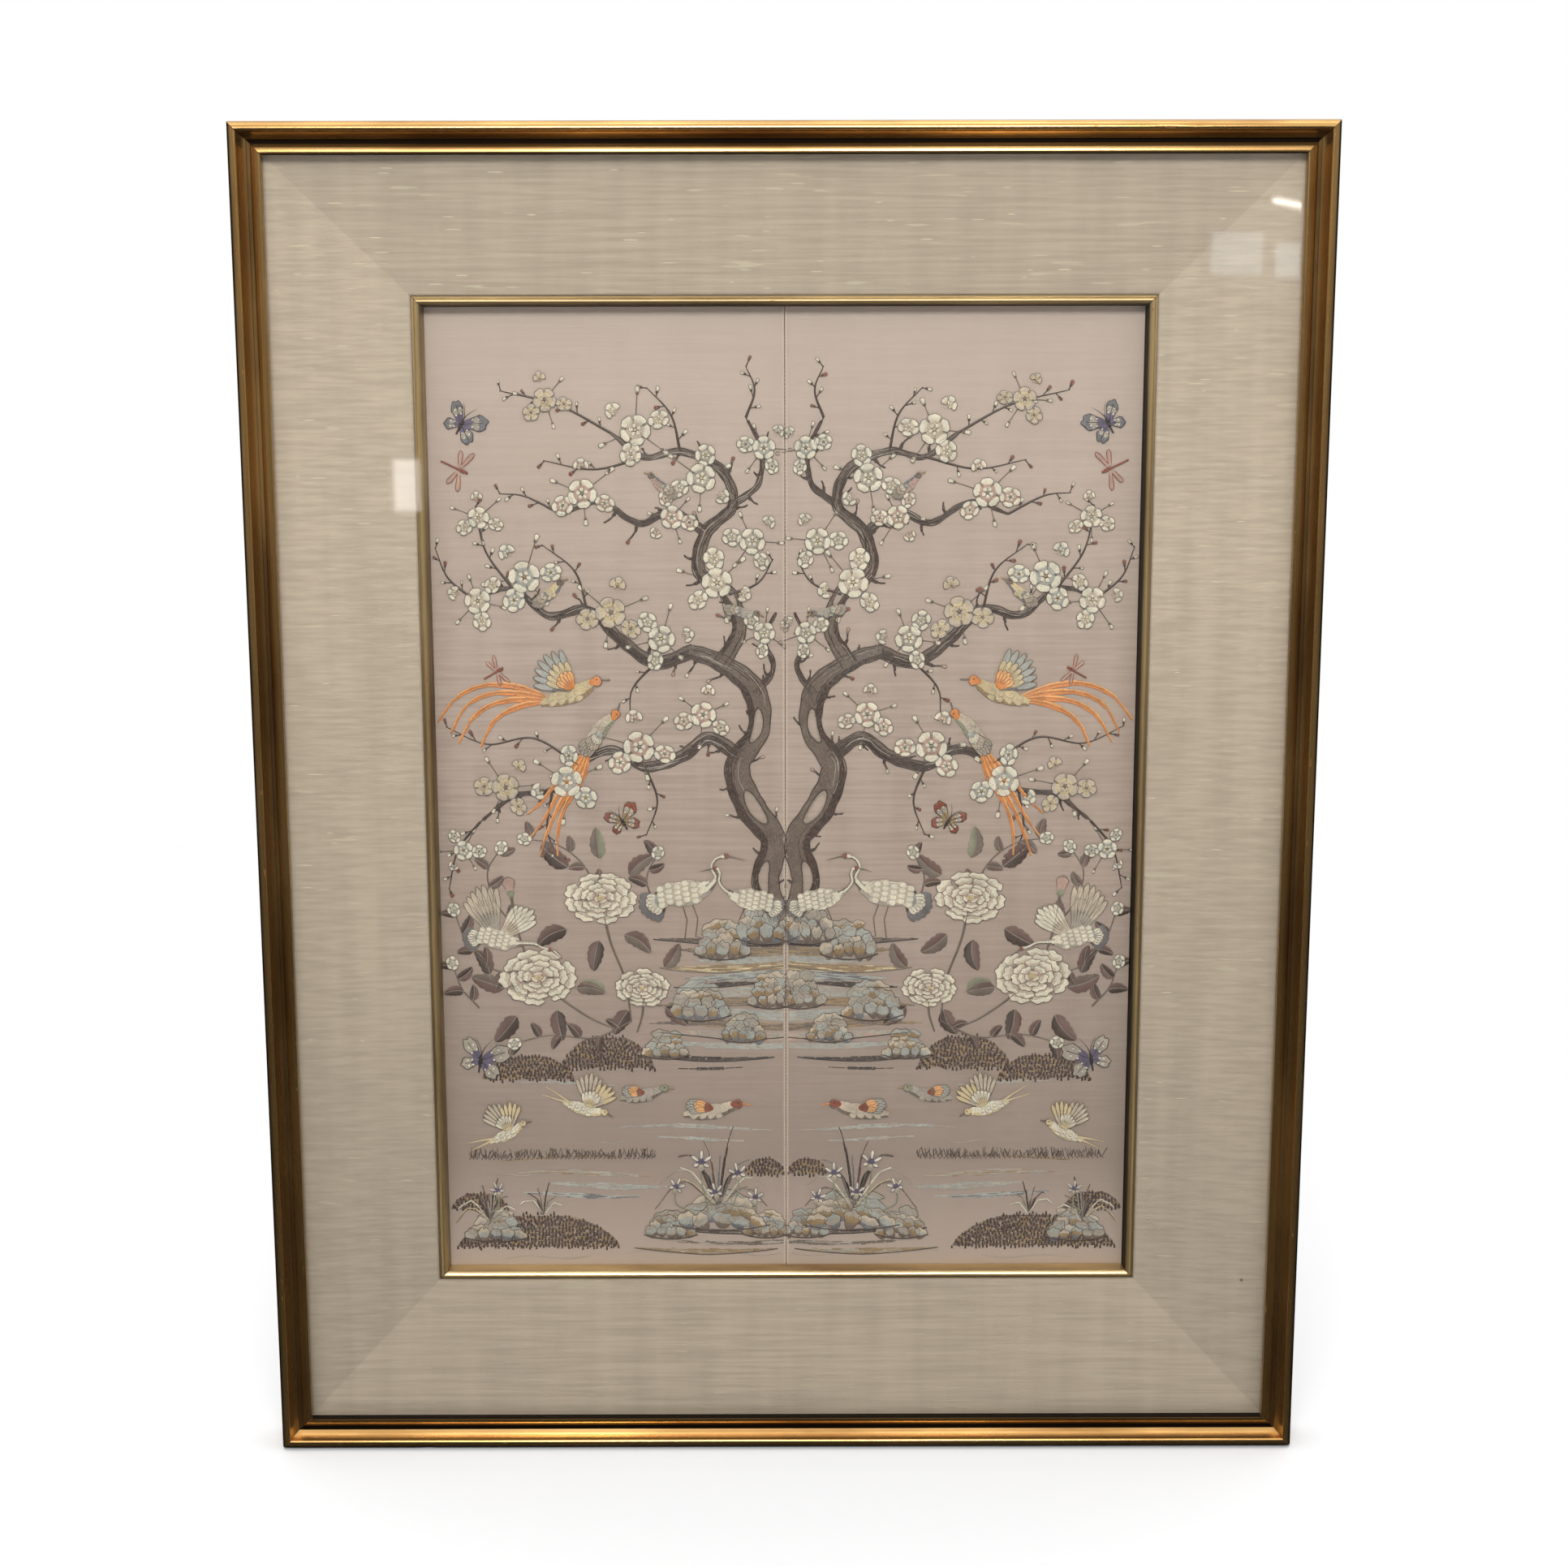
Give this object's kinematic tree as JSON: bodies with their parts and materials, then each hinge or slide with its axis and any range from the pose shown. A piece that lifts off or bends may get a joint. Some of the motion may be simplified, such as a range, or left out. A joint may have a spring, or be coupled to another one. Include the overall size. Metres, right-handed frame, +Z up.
{
  "type": "framed silk embroidery panel with its picture frame",
  "caption": "Rectangular silk embroidery in two joined panels, glazed in a gilt scoop frame with a wide sloping cloth-covered liner and a thin gilt fillet.",
  "frame": {"origin": "middle of the flat back that lies against the wall", "axes": "+Z up the panel, -Y out of the front towards the viewer, +Y into the wall, +X to the viewer's right"},
  "size_m": [0.715, 0.038, 0.908],
  "materials": {
    "gilt_moulding": "worn gilt over brown bole",
    "gilt_fillet": "satin gilt",
    "liner_cloth": "raw silk with slubs",
    "ground_silk": "aged satin silk",
    "stitch_silk": "floss silk stitches",
    "clear_glass": "polished",
    "backing_board": "plain hardboard"
  },
  "bodies": {
    "root": {"rail_top": "gilt_moulding", "rail_bottom": "gilt_moulding", "rail_left": "gilt_moulding", "rail_right": "gilt_moulding", "glass": "clear_glass", "liner_top": "liner_cloth", "liner_bottom": "liner_cloth", "liner_left": "liner_cloth", "liner_right": "liner_cloth", "fillet_top": "gilt_fillet", "fillet_bottom": "gilt_fillet", "fillet_left": "gilt_fillet", "fillet_right": "gilt_fillet", "silk_left": "ground_silk", "silk_right": "ground_silk", "backing_board": "backing_board"}
  },
  "joints": []
}
